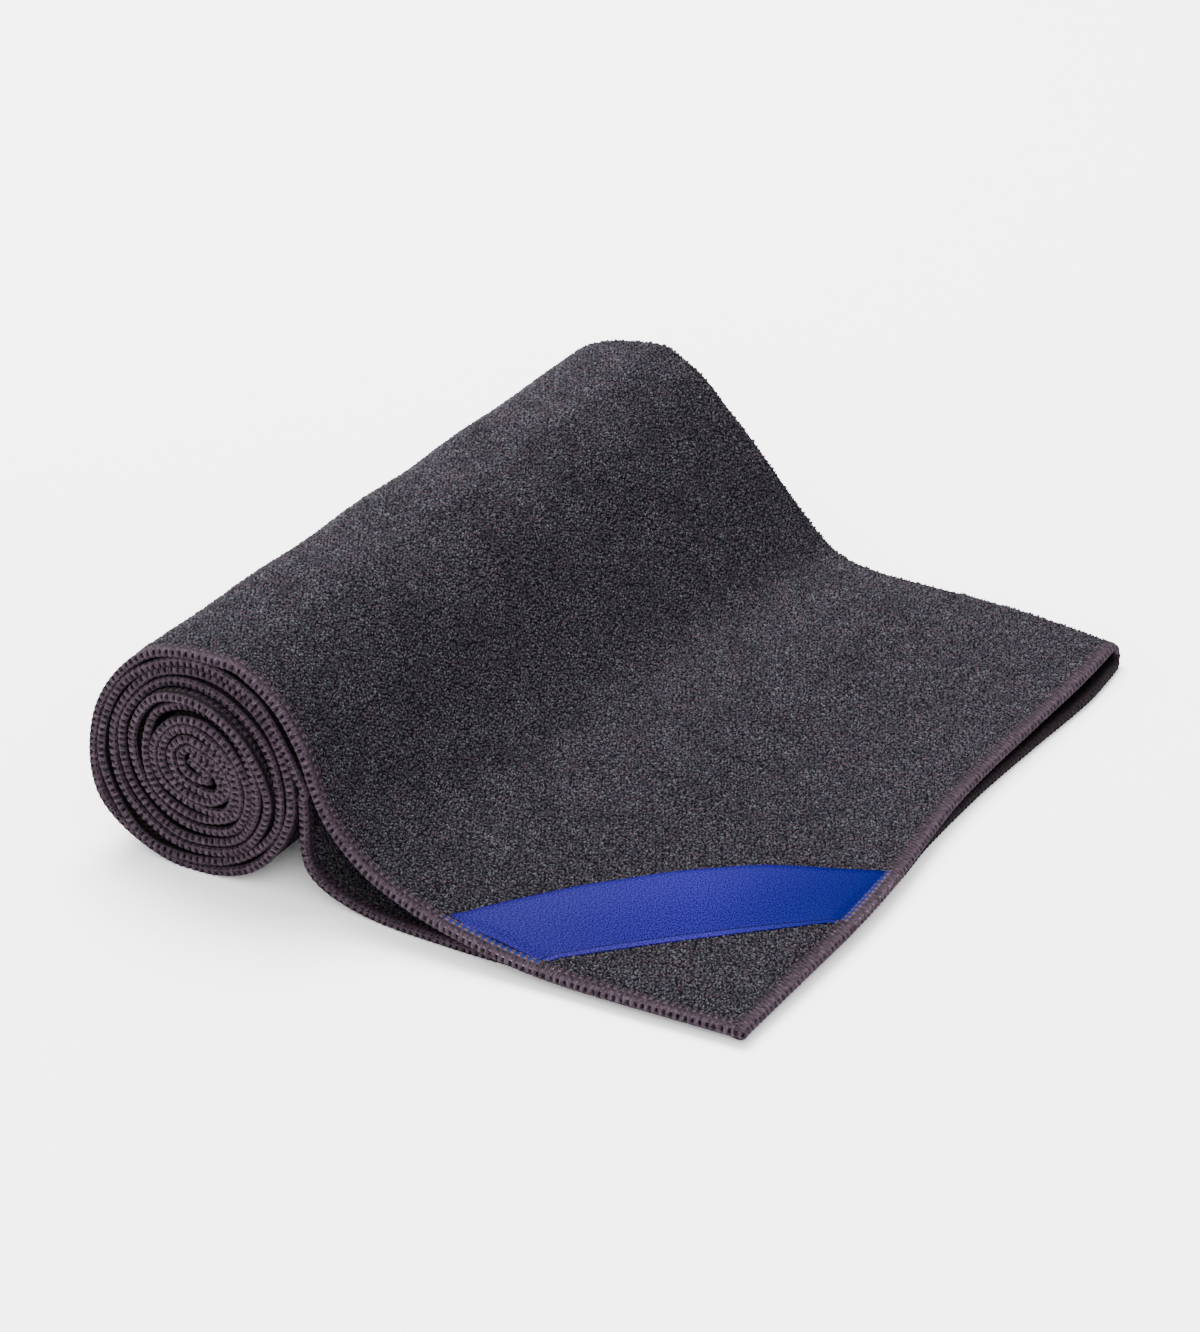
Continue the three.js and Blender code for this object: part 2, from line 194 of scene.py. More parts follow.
# Distance of each layer's middle line from the roll's middle at the near end.
top_radius = (
    turn(38.0, 33.4, 31.2, 31.3, 32.0, 35.3, 31.9, 32.2)
    + turn(30.1, 27.1, 25.6, 26.0, 25.4, 26.1, 26.1, 26.2)
    + turn(24.0, 21.2, 20.1, 20.7, 19.0, 19.0, 20.0, 19.9)
    + turn(16.3, 13.6, 13.7, 13.4, 13.8, 14.6, 13.3, 14.5)
    + turn(9.8, 7.2, 6.7, 8.8, 8.6, 8.2, 7.5, 9.0)
    + turn(5.2, 3.2, 2.2, 2.4, 3.0, 3.4, 2.6, 3.0)
)
under_radius = (
    turn(34.2, 29.8, 28.4, 28.7, 29.2, 32.2, 29.1, 29.3)
    + turn(27.6, 24.4, 23.1, 23.5, 22.9, 23.3, 23.3, 23.5)
    + turn(21.4, 18.7, 17.5, 17.0, 14.6, 15.9, 16.4, 16.8)
    + turn(13.7, 11.0, 11.2, 11.3, 11.4, 11.8, 10.5, 11.9)
    + turn(7.0, 4.6, 4.1, 6.3, 6.0, 5.6, 4.6, 5.0)
    + turn(2.6, 1.2, 0.8, 0.6, 0.8, 1.0, 0.8, 0.8)
)
# How far each layer's hem is set back from the near end's plane.
top_set_back = (
    turn(0.0, 2.4, 3.5, 3.0, 0.6, 0.5, 1.3, 0.8)
    + turn(0.5, 2.0, 3.2, 2.0, 0.0, 0.0, 0.5, 0.0)
    + turn(-2.8, -4.6, -3.4, -3.0, -2.0, -1.5, -0.5, -1.6)
    + turn(-4.2, -4.2, -4.2, -3.6, -4.2, -2.2, -2.2, -3.2)
    + turn(-4.0, -4.6, -4.4, -4.2, -4.2, -3.4, -3.4, -3.8)
    + turn(-3.8, -3.4, -3.4, -3.0, -3.0, -3.0, -3.0, -3.0)
)
under_set_back = (
    turn(0.8, 2.0, 3.2, 2.0, 0.3, 0.0, 0.8, 0.5)
    + turn(0.0, -0.4, 1.8, 1.0, 0.2, 1.0, 0.2, 0.2)
    + turn(-4.0, -2.0, -1.4, -1.6, -2.8, -2.0, -1.2, -2.4)
    + turn(-4.2, -4.6, -4.6, -4.0, -4.0, -2.6, -2.6, -3.6)
    + turn(-3.8, -4.2, -4.2, -3.6, -3.6, -3.0, -3.0, -3.2)
    + turn(-3.0, -3.0, -3.0, -3.0, -3.0, -3.0, -3.0, -3.0)
)
# Distance of the fold's middle from the roll's middle at the far end, in its first turn.
fold_radius = turn(33.1, 32.3, 30.3, 27.0, 28.0, 30.2, 30.5, 29.7)
fold_pitch = 5.5                   # how much smaller each further turn is
fold_loop = 1.5
fold_edge = 241.6
# The inner turns wind round a middle that lies to the right of and above the roll's own.
core_shift = np.array([4.6, 2.5])
core_shift_from, core_shift_to = 540, 1440
eighth = 45.0                      # degrees
eighths_in_turn = 8
wound_eighths = 37                 # of a turn, from the top of the roll to the inner end
top_start, under_start = 76, 5     # degrees at which the layers come to the roll's near end
# The inner end itself lies flat in the hollow that the last turn leaves.
inner_end_columns = ("top_x", "top_z", "under_x", "under_z")
inner_end = [
    (11.3, 30.6, 6.3, 31.3),
    (10.2, 33.6, 6.8, 32.7),
    (7.9, 35.5, 5.3, 33.7),
    (5.0, 37.0, 3.2, 35.0),
    (2.1, 38.5, 1.0, 36.3),
]
inner_fold_shift = (-1.0, -1.3)    # of the inner end's fold from its top layer


def on_curve(knots, at):
    """Points of the smooth curve that passes through all knots, where at counts knots."""
    knots = np.asarray(knots, float)
    at = np.asarray(at, float)
    last = len(knots) - 1
    start = np.clip(np.floor(at).astype(int), 0, last - 1)
    share = (at - start).reshape((-1,) + (1,) * (knots.ndim - 1))
    before, here, ahead, beyond = (knots[np.clip(start + step, 0, last)] for step in (-1, 0, 1, 2))
    bend = 2 * before - 5 * here + 4 * ahead - beyond + share * (3 * (here - ahead) + beyond - before)
    return here + share / 2 * (ahead - before + share * bend)


def on_roll(degrees, radius):
    """Across and height of a point at an angle that keeps counting over the turns."""
    share = np.clip((degrees - core_shift_from) / (core_shift_to - core_shift_from), 0, 1)
    shift = (share * share * (3 - 2 * share))[:, None] * core_shift
    angle = np.radians(degrees)
    place = np.stack([radius * np.cos(angle), roll_centre / mm + radius * np.sin(angle)], axis=1)
    return place + shift


eighths = np.arange(1, wound_eighths + 1)
inner_end_table = np.array(inner_end)
top_degrees = top_start + eighth * eighths
under_degrees = under_start + (eighth + (top_start - under_start) / wound_eighths) * eighths
far_radius = [
    fold_radius[k % eighths_in_turn] - fold_pitch * (k // eighths_in_turn)
    for k in range(len(top_radius))
]
open_table = np.array(open_rows)
column = {name: open_table[:, k] for k, name in enumerate(open_columns)}


def hem_knots(kind, degrees, radii, set_back):
    """Knots of one layer's near hem: along the open stretch, then round the turns."""
    laid = np.stack([column[f"{kind}_x"], column[f"{kind}_edge"], column[f"{kind}_z"]], axis=1)
    place = on_roll(degrees, on_curve(radii, degrees / eighth))
    back = on_curve(set_back, degrees / eighth)
    wound = np.stack([place[:, 0], back, np.maximum(place[:, 1], cloth_thickness / mm / 2)], axis=1)
    first = inner_end_columns.index(f"{kind}_x")
    last = np.full(len(inner_end_table), back[-1])
    inside = np.stack([inner_end_table[:, first], last, inner_end_table[:, first + 1]], axis=1)
    return np.concatenate([laid, wound, inside]) * mm


top_knots = hem_knots("top", top_degrees, top_radius, top_set_back)
under_knots = hem_knots("under", under_degrees, under_radius, under_set_back)
last_knot = len(top_knots) - 1
far_place = on_roll(top_degrees, on_curve(far_radius, top_degrees / eighth))
fold_knots = np.concatenate([
    np.stack([column[name] for name in ("fold_x", "fold_y", "fold_z", "loop")], axis=1),
    np.stack([
        far_place[:, 0],
        np.full(wound_eighths, fold_edge),
        far_place[:, 1],
        np.full(wound_eighths, fold_loop),
    ], axis=1),
    np.stack([
        inner_end_table[:, 0] + inner_fold_shift[0],
        np.full(len(inner_end_table), fold_edge),
        inner_end_table[:, 1] + inner_fold_shift[1],
        np.full(len(inner_end_table), fold_loop),
    ], axis=1),
]) * mm
end_bow_table = np.array(end_bow) * mm

# The loose top layer billows between its hem and the fold, sinks a little just past the top of
# the roll, and lies in soft waves on the slope and over the roll.
billow_softness = 0.02
past_top_hump = (-0.7, -0.4)
wave_height = 0.5 * mm
wave_count, wave_drift = 4.3, 0.07
wave_knots = (9, 21)
wave_fade = 4
wound_hump = np.zeros(wound_eighths + len(inner_end_table))
wound_hump[:len(past_top_hump)] = past_top_hump
hump_knots = np.concatenate([column["hump"], wound_hump]) * mm


def top_lift(rows, share):
    """Rise of the top layer over the straight line from its hem, 0, to the fold, 1."""
    soft = math.sqrt(billow_softness)
    rise = np.sqrt(np.sin(np.pi * share) + billow_softness) - soft
    billow = rise / (math.sqrt(1 + billow_softness) - soft)
    hump = on_curve(hump_knots, rows)[:, None]
    wave_from, wave_to = wave_knots
    waving = np.clip((rows - wave_from) / wave_fade, 0, 1) * np.clip((wave_to - rows) / wave_fade, 0, 1)
    waves = np.sin(2 * np.pi * (wave_count * share + wave_drift * rows[:, None])) * np.sin(np.pi * share)
    return hump * billow + wave_height * waving[:, None] * waves


def square_to_fold(rows):
    """Direction from the middle of the fold to the top layer."""
    step = 0.25
    ahead = on_curve(fold_knots, np.minimum(rows + step, last_knot))
    behind = on_curve(fold_knots, np.maximum(rows - step, 0))
    along = ahead - behind
    square = np.stack([along[:, 2], np.zeros(len(rows)), -along[:, 0]], axis=1)
    square /= np.linalg.norm(square, axis=1)[:, None]
    return square[:, None, :]


def stand_out(place, rows, across):
    """How far the bow of the open end's edge carries each place out past its own line."""
    bow_at = np.interp(place[:, :, 1], end_bow_table[:, 0], np.arange(len(end_bow)))
    bow = on_curve(end_bow_table, bow_at.ravel()).reshape(place.shape)
    under_share = np.clip(across - 1, 0, 1)[None, :]
    out = bow[:, :, 1] * (1 - under_share) + bow[:, :, 2] * under_share
    return out * np.clip(1 - rows / end_bow_reach, 0, 1)[:, None] ** 2


def middle_surface(rows, across):
    """Middle of the cloth. rows count knots from the open end. across runs from the top
    layer's hem, 0, over the fold, 1 to 2, to the hem of the layer under it, 3."""
    across = np.asarray(across, float)
    share = np.clip(across, 0, 1)[None, :]
    back = np.clip(3 - across, 0, 1)[None, :, None]
    turned = np.clip(across - 1, 0, 1)[None, :, None] * np.pi
    top = on_curve(top_knots, rows)[:, None]
    under = on_curve(under_knots, rows)[:, None]
    fold = on_curve(fold_knots, rows)
    loop = fold[:, 3][:, None, None]
    middle = fold[:, None, :3] - np.array([0, 1, 0]) * (loop + cloth_thickness / 2)
    square = square_to_fold(rows)
    on_top = top + (middle + square * loop - top) * share[:, :, None]
    on_top = on_top + np.array([0, 0, 1]) * top_lift(rows, share)[:, :, None]
    beneath = under + (middle - square * loop - under) * back
    bend = middle + square * loop * np.cos(turned) + np.array([0, 1, 0]) * loop * np.sin(turned)
    place = np.where((across <= 1)[None, :, None], on_top, bend)
    place = np.where((across >= 2)[None, :, None], beneath, place)
    place[:, :, 0] += stand_out(place, rows, across)
    return place


def lengths_along(points):
    """Distance from the first point to each point of a line."""
    return np.concatenate([[0], np.cumsum(np.linalg.norm(np.diff(points, axis=0), axis=1))])


def unit(vectors):
    """The same directions, each of length one."""
    return vectors / np.linalg.norm(vectors, axis=-1, keepdims=True)


# The cloth's two edges are measured along the hems.
dense_count = 6000
dense_rows = np.linspace(0, last_knot, dense_count)
top_lengths = lengths_along(middle_surface(dense_rows, [0.0])[:, 0])
under_lengths = lengths_along(middle_surface(dense_rows, [3.0])[:, 0])

# The grid is close at the hems, wider inside, and wider still on the hidden turns.
hem_steps = np.array([0, 0.7, 1.5, 2.5, 3.5, 4.5, 5.3, 6.2]) * mm
beside_hem = np.array([8, 10.5, 14, 18]) * mm
outer_step, inner_step = 2.5 * mm, 3.6 * mm
top_from, top_step = 22 * mm, 6 * mm
under_from, under_step = 23 * mm, 8 * mm
before_fold = roll_length - 3 * mm
fold_columns = 9

outer_turn_length = np.interp(open_knots + eighths_in_turn, dense_rows, top_lengths)
row_lengths = np.concatenate([
    hem_steps,
    np.arange(beside_hem[0], outer_turn_length, outer_step),
    np.arange(outer_turn_length, top_lengths[-1], inner_step),
])
cloth_rows = np.interp(row_lengths, top_lengths, dense_rows)
top_widths = [hem_steps, beside_hem, np.arange(top_from, before_fold, top_step)]
under_widths = [hem_steps, beside_hem, np.arange(under_from, before_fold, under_step)]
top_across = np.concatenate(top_widths) / roll_length
under_across = np.concatenate(under_widths) / roll_length
cloth_across = np.concatenate([top_across, np.linspace(1, 2, fold_columns), 3 - under_across[::-1]])

cloth_middle = middle_surface(cloth_rows, cloth_across)
along_cloth = np.gradient(cloth_middle, axis=0)
across_cloth = np.gradient(cloth_middle, axis=1)
cloth_normal = unit(np.cross(across_cloth, along_cloth))
to_hem = np.minimum(cloth_across, 3 - cloth_across) * roll_length
to_edge = np.minimum(to_hem[None, :], row_lengths[:, None])
swollen = np.clip((to_edge - hem_width) / hem_slope, 0, 1)
half_thick = (hem_thickness + (cloth_thickness - hem_thickness) * swollen) / 2
outer_face = cloth_middle + cloth_normal * half_thick[:, :, None]
inner_face = cloth_middle - cloth_normal * half_thick[:, :, None]
for face in (outer_face, inner_face):
    face[:, :, 2] = np.maximum(face[:, :, 2], 0.0)


def make_piece(name, points, faces):
    """A smooth-shaded object from points that count from the roll's foot."""
    mesh = bpy.data.meshes.new(name)
    mesh.from_pydata((points + roll_foot).tolist(), [], [list(face) for face in faces])
    mesh.update()
    mesh.polygons.foreach_set("use_smooth", np.ones(len(mesh.polygons), bool))
    piece = bpy.data.objects.new(name, mesh)
    bpy.context.collection.objects.link(piece)
    return piece


def make_sheet(name, outer, inner):
    """A closed sheet from its two faces, gridded alike and joined all round their rim."""
    rows, columns = outer.shape[:2]
    count = rows * columns
    numbers = np.arange(count).reshape(rows, columns)
    quads = np.stack([numbers[:-1, :-1], numbers[:-1, 1:], numbers[1:, 1:], numbers[1:, :-1]], axis=-1)
    quads = quads.reshape(-1, 4)
    rim = np.concatenate([numbers[0, :-1], numbers[:-1, -1], numbers[-1, :0:-1], numbers[:0:-1, 0]])
    ahead = np.roll(rim, -1)
    rim_quads = np.stack([rim, rim + count, ahead + count, ahead], axis=-1)
    points = np.concatenate([outer.reshape(-1, 3), inner.reshape(-1, 3)])
    return make_piece(name, points, np.concatenate([quads[:, ::-1], quads + count, rim_quads]))


def add_node(finish, kind, sockets=None, **settings):
    """A new node of a finish, with its settings and the values of its sockets."""
    node = finish.node_tree.nodes.new(kind)
    for setting, value in settings.items():
        setattr(node, setting, value)
    for socket, value in (sockets or {}).items():
        node.inputs[socket].default_value = value
    return node


def add_ramp(finish, stops):
    """A colour ramp through stops of position and colour."""
    ramp = finish.node_tree.nodes.new("ShaderNodeValToRGB")
    elements = ramp.color_ramp.elements
    for element, (position, colour) in zip(elements, (stops[0], stops[-1])):
        element.position = position
        element.color = (*colour, 1)
    for position, colour in stops[1:-1]:
        elements.new(position).color = (*colour, 1)
    return ramp


def join(source, output, target, socket):
    """Lead one node's output into a socket of another."""
    source.id_data.links.new(source.outputs[output], target.inputs[socket])


cloth = make_sheet("towel_cloth", outer_face, inner_face)

looped_cloth, cloth_shader = start_finish("looped cloth", roughness=0.95, shine=0.02)
cloth_place = add_node(looped_cloth, "ShaderNodeTexCoord")
loop_cells = add_node(looped_cloth, "ShaderNodeTexVoronoi", {"Scale": 1000})
# Painted shade: the cloth's colour is darkest at the edges of the cells, in the pits between its loops.
loop_tones_and_pit_shade = add_ramp(looped_cloth, [
    (0.05, (0.019, 0.0175, 0.022)),
    (0.6, (0.0025, 0.002, 0.003)),
])
loop_bump = add_node(looped_cloth, "ShaderNodeBump", {"Strength": 0.9, "Distance": 0.0005}, invert=True)
join(cloth_place, "Object", loop_cells, "Vector")
join(loop_cells, "Distance", loop_tones_and_pit_shade, "Fac")
join(loop_cells, "Distance", loop_bump, "Height")
join(loop_tones_and_pit_shade, "Color", cloth_shader, "Base Color")
join(loop_bump, "Normal", cloth_shader, "Normal")
cloth.data.materials.append(looped_cloth)

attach(cloth, "root")
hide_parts("towel")


# Pile
# The cloth's face is a short pile of small twisted loops, about one to a millimetre, thrown
# in all directions. They are modelled one by one wherever the towel is seen from outside.
loop_spacing = 1.02 * mm
loop_length = 0.55 * mm
loop_width = 0.32 * mm
loop_height = 0.42 * mm
loop_root = 0.25 * mm
loop_lean = 0.25 * mm
crest_share = 0.45                 # of the loop's length at its root
place_spread = 0.34                # of the spacing
length_spread, width_spread, height_spread = (0.7, 1.25), (0.8, 1.25), (0.35, 1.5)
beside_normals = np.array([0.31, 0.52, 0.79])
# Each loop has four corners at its root, and a crest between two more.
loop_heights = np.array([0.0, 0.0, 0.0, 0.0, 1.0, 1.0])
loop_faces = np.array([(0, 1, 5), (0, 5, 4), (1, 2, 5), (2, 3, 4), (2, 4, 5), (3, 0, 4)])
loop_random = np.random.default_rng(7)

# The loops start at the hem, and end under the roll, where its cloth goes out of sight.
pile_clear = hem_width - 0.2 * mm
pile_last_knot = open_knots - 1 + 4.4
# The ribbon presses on the cloth along its outer edge and near its two ends, and no loops
# stand there. Its band is counted as the distance across less the distance along the roll.
ribbon_band = (78 * mm, 107.6 * mm)
ribbon_outer_band = 104 * mm
ribbon_near_end, ribbon_far_end = 7 * mm, 152 * mm
open_end_top = 30 * mm
# The layer under the open end shows its inner side in the gap between the two hems.
gap_knots = [5, 13]
gap_depth = 55 * mm


def loop_field(length_from, length_to, width_from, width_to):
    """Scattered places on a hexagonal net, as lengths along the cloth and across it."""
    lines = np.arange(width_from, width_to, loop_spacing * math.sqrt(3) / 2)
    along = np.arange(length_from, length_to, loop_spacing)
    u, v = np.meshgrid(along, lines, indexing="ij")
    u = u + loop_spacing / 2 * (np.arange(len(lines)) % 2)[None, :]
    shake = loop_random.uniform(-place_spread, place_spread, (2,) + u.shape) * loop_spacing
    return (u + shake[0]).ravel(), (v + shake[1]).ravel()


def on_face(face, normals, row_at, column_at):
    """Points and directions on a gridded face at fractional rows and columns."""
    row = np.clip(row_at.astype(int), 0, face.shape[0] - 2)
    col = np.clip(column_at.astype(int), 0, face.shape[1] - 2)
    a = (row_at - row)[:, None]
    b = (column_at - col)[:, None]
    found = []
    for grid in (face, normals):
        near = grid[row, col] * (1 - a) + grid[row + 1, col] * a
        far = grid[row, col + 1] * (1 - a) + grid[row + 1, col + 1] * a
        found.append(near * (1 - b) + far * b)
    return found[0], unit(found[1])


def mark_points(piece, name, values):
    """Keep one number, or three, at each point of a piece, for its finish to read."""
    single = values.size == len(piece.data.vertices)
    mark = piece.data.attributes.new(name, "FLOAT" if single else "FLOAT_VECTOR", "POINT")
    mark.data.foreach_set("value" if single else "vector", values.astype(np.float32).ravel())


def make_loops(name, points, normals):
    """One mesh of small sausage-shaped loops standing on the given points."""
    count = len(points)
    spin = loop_random.uniform(0, 2 * np.pi, count)
    side = unit(np.cross(normals, beside_normals))
    other = np.cross(normals, side)
    lie = side * np.cos(spin)[:, None] + other * np.sin(spin)[:, None]
    wide = np.cross(normals, lie)
    long_half = loop_length * loop_random.uniform(*length_spread, count)[:, None]
    wide_half = loop_width * loop_random.uniform(*width_spread, count)[:, None]
    high = loop_height * loop_random.uniform(*height_spread, count)[:, None]
    lean = loop_random.uniform(-loop_lean, loop_lean, (2, count, 1))
    root = points - normals * loop_root
    crest = points + normals * high + wide * lean[0]
    corners = np.stack([
        root - lie * long_half - wide * wide_half,
        root + lie * long_half - wide * wide_half,
        root + lie * long_half + wide * wide_half,
        root - lie * long_half + wide * wide_half,
        crest - lie * long_half * crest_share,
        crest + lie * long_half * crest_share + wide * lean[1],
    ], axis=1)
    corners[:, :, 2] = np.maximum(corners[:, :, 2], 0.0)
    faces = (np.arange(count)[:, None, None] * len(loop_heights) + loop_faces[None]).reshape(-1, 3)
    loops = make_piece(name, corners.reshape(-1, 3), faces)
    mark_points(loops, "loop_height", np.tile(loop_heights, (count, 1)))
    mark_points(loops, "loop_tint", np.repeat(loop_random.uniform(0, 1, count), len(loop_heights)))
    return loops


def add_product(finish):
    """A node that multiplies its colour A by its colour B."""
    return add_node(finish, "ShaderNodeMix", {"Factor": 1.0}, data_type="RGBA", blend_type="MULTIPLY")


fold_length = math.pi * fold_loop * mm
pile_end = np.interp(pile_last_knot, dense_rows, top_lengths)
field_lengths, field_widths = loop_field(pile_clear, pile_end, pile_clear, roll_length + fold_length)
rows_at = np.interp(field_lengths, row_lengths, np.arange(len(row_lengths)))
over_fold = (field_widths - roll_length) / fold_length + 1
across_at = np.where(field_widths < roll_length, field_widths / roll_length, over_fold)
outer_columns = len(top_across) + fold_columns
columns_at = np.interp(across_at, cloth_across[:outer_columns], np.arange(outer_columns))
loop_points, loop_normals = on_face(outer_face, cloth_normal, rows_at, columns_at)
place_x, place_y, place_z = loop_points.T
band = place_x - place_y
under_ribbon = (band > ribbon_band[0]) & (band < ribbon_band[1]) & (place_z < open_end_top)
pressed = (band > ribbon_outer_band) | (place_y < ribbon_near_end) | (place_x > ribbon_far_end)
loop_free = ~(under_ribbon & pressed)
loop_points, loop_normals = loop_points[loop_free], loop_normals[loop_free]
pile_names = ("pile_open_end", "pile_slope", "pile_roll")
piles = []
for pile_name, part in zip(pile_names, np.array_split(np.arange(len(loop_points)), len(pile_names))):
    piles.append(make_loops(pile_name, loop_points[part], loop_normals[part]))

gap_from, gap_to = np.interp(gap_knots, dense_rows, top_lengths)
gap_lengths, gap_widths = loop_field(gap_from, gap_to, pile_clear, gap_depth)
rows_at = np.interp(gap_lengths, row_lengths, np.arange(len(row_lengths)))
turned_across = 3 - cloth_across[::-1]
columns_at = np.interp(gap_widths / roll_length, turned_across, np.arange(len(turned_across)))
gap_points, gap_normals = on_face(inner_face[:, ::-1], -cloth_normal[:, ::-1], rows_at, columns_at)
piles.append(make_loops("pile_gap", gap_points, gap_normals))

dark_pile, pile_shader = start_finish("dark pile", roughness=0.9, shine=0.03)
pile_tint = add_node(dark_pile, "ShaderNodeAttribute", attribute_name="loop_tint")
pile_colour = add_ramp(dark_pile, [
    (0.0, (0.0175, 0.0155, 0.021)),
    (0.35, (0.024, 0.0235, 0.0285)),
    (0.6, (0.0385, 0.0263, 0.033)),
    (0.85, (0.033, 0.0335, 0.0395)),
    (1.0, (0.048, 0.051, 0.056)),
])
pile_depth = add_node(dark_pile, "ShaderNodeAttribute", attribute_name="loop_height")
pile_shadow = add_ramp(dark_pile, [(0.25, (0.12, 0.12, 0.12)), (0.85, (1, 1, 1))])
pile_loops = add_product(dark_pile)
pile_place = add_node(dark_pile, "ShaderNodeTexCoord")
pile_patches = add_node(dark_pile, "ShaderNodeTexNoise", {"Scale": 110, "Detail": 3})
pile_patch_tone = add_node(dark_pile, "ShaderNodeMapRange", {
    "From Min": 0.3, "From Max": 0.7, "To Min": 0.82, "To Max": 1.26,
})
pile_patched = add_product(dark_pile)
join(pile_tint, "Fac", pile_colour, "Fac")
join(pile_depth, "Fac", pile_shadow, "Fac")
join(pile_colour, "Color", pile_loops, "A")
join(pile_shadow, "Color", pile_loops, "B")
join(pile_place, "Object", pile_patches, "Vector")
join(pile_patches, "Fac", pile_patch_tone, "Value")
join(pile_loops, "Result", pile_patched, "A")
join(pile_patch_tone, "Result", pile_patched, "B")
join(pile_patched, "Result", pile_shader, "Base Color")

for pile in piles:
    pile.data.materials.append(dark_pile)
    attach(pile, "root")


# Hems
# Every cut edge is overlocked: a loosely spun mauve-grey thread wraps the edge closely, locks
# in a row of small holes along it, and is held on both faces by two lines of needle stitches.
stitch_length = 2.05 * mm
steps_per_stitch = 8
edge_radius = 1.3 * mm
# Where the thread's points lie, counted over the bend from the middle of the edge.
half_reach = np.array([0.35, 0.75, 1.2, 1.6, 2.1, 3.0, 3.8, 4.2, 4.6, 5.0, 5.3]) * mm
hem_places = np.concatenate([-half_reach[:0:-1], [-0.45 * mm, 0.0], half_reach])
hem_reach = half_reach[-1]
thread_set_in = 0.3 * mm
lip_width, lip_drop = 0.4 * mm, 0.35
back_inset, back_height, back_tone = 0.9 * mm, 0.55, 0.4
crowding_length = 20 * mm          # over which the turns close up on each other
thread_random = np.random.default_rng(3)

# The marks of the stitches, as sizes along the seam and places and widths across it.
stitch_spread = 0.09               # of a stitch
drawn_spread = (0.65, 1.15)        # how hard each hole is drawn in
chain_place = 0.35 * mm
hole_long, hole_wide = 0.45 * mm, 0.5 * mm
ring_place, ring_wide = 1.75, 0.5  # in sizes of its hole
bead_wide = 2.0 * mm
slit_long = 0.27 * mm
small_hole_place, small_hole_size = 2.8 * mm, 0.4 * mm
flat_place, flat_blend = 1.9 * mm, 0.5 * mm
needle_rows = (3.8 * mm, 5.0 * mm)
needle_row_wide = (0.2 * mm, 0.22 * mm)
dash_contrast, dash_share = 1.5, 0.4
eye_long, eye_wide, window_wide = 0.5 * mm, 0.24 * mm, 0.36 * mm
threads_per_stitch, thread_slant = 3, 9.0 * mm
padded_threads_per_stitch, padded_slant, padded_roughness = 1.5, 2.6 * mm, 0.6
pad_place, pad_wide = 3.0 * mm, 1.4 * mm
glint_from = 0.97                  # the few points where a fibre shines
flank_place, flank_wide = 2.1 * mm, 0.75 * mm
light_dot_place, light_dot_size = 0.95 * mm, 0.34 * mm
caught_place, caught_blend = 3.2 * mm, 0.3 * mm

# What each mark adds to the thread's height, in mm, and to its tone, from dark, 0, to light, 1.
# Painted shade: the tone darkens the holes, slits, small holes and needle eyes, where shade falls in the
# thread; the glints are painted highlights.
thread_tone = 0.46
plain_marks = {
    "bead": (0.26, 0.05),
    "ring": (0.1, 0.12),
    "hole": (-0.5, -0.56),
    "slit": (-0.06, -0.12),
    "small_hole": (-0.12, -0.3),
    "flat": (0, -0.16),
    "uneven": (0, 0.1),
    "glint": (0, 0.3),
    "dash": (0.1, 0.4),
    "needle_row": (0, -0.12),
    "eye": (-0.25, -0.4),
    "threads": (0.04, 0.1),
}
padded_marks = {
    "bead": (0.26, 0.05),
    "ring": (0.03, 0.036),
    "hole": (-0.225, -0.252),
    "slit": (-0.036, -0.072),
    "small_hole": (-0.12, 0),
    "flat": (0, -0.16),
    "uneven": (0, 0.1),
    "glint": (0, 0.3),
    "eye": (-0.25, -0.45),
    "padded_threads": (0.1, 0.14),
    "pad": (0.2, 0),
}
# Painted shade: deeper in the roll, where the turns crowd each other, the thread is darkened on its
# flanks and flat sides, where its neighbours shade it.
flank_shade, flat_side_shade, deepest_crowded_shade = 0.7, 0.25, 0.75
caught_tone, caught_dash, caught_window = 0.42, 0.4, 0.6


def hem_profile(reach):
    """Inward distance, height and outward direction of the thread round the cut edge."""
    bend = edge_radius * math.pi / 2
    angle = np.clip(reach / edge_radius, -math.pi / 2, math.pi / 2)
    flat = np.maximum(np.abs(reach) - bend, 0)
    inward = edge_radius * (1 - np.cos(angle)) + flat
    return inward, edge_radius * np.sin(angle), -np.cos(angle), np.sin(angle)


def hump_at(distance, width):
    """A soft hump, 1 at no distance."""
    return np.exp(-((distance / width) ** 2))


def caught_share(reach):
    """How far the seam at this reach is the one that catches the ribbon, from 0 to 1."""
    return np.clip((reach - caught_place) / caught_blend, 0, 1)


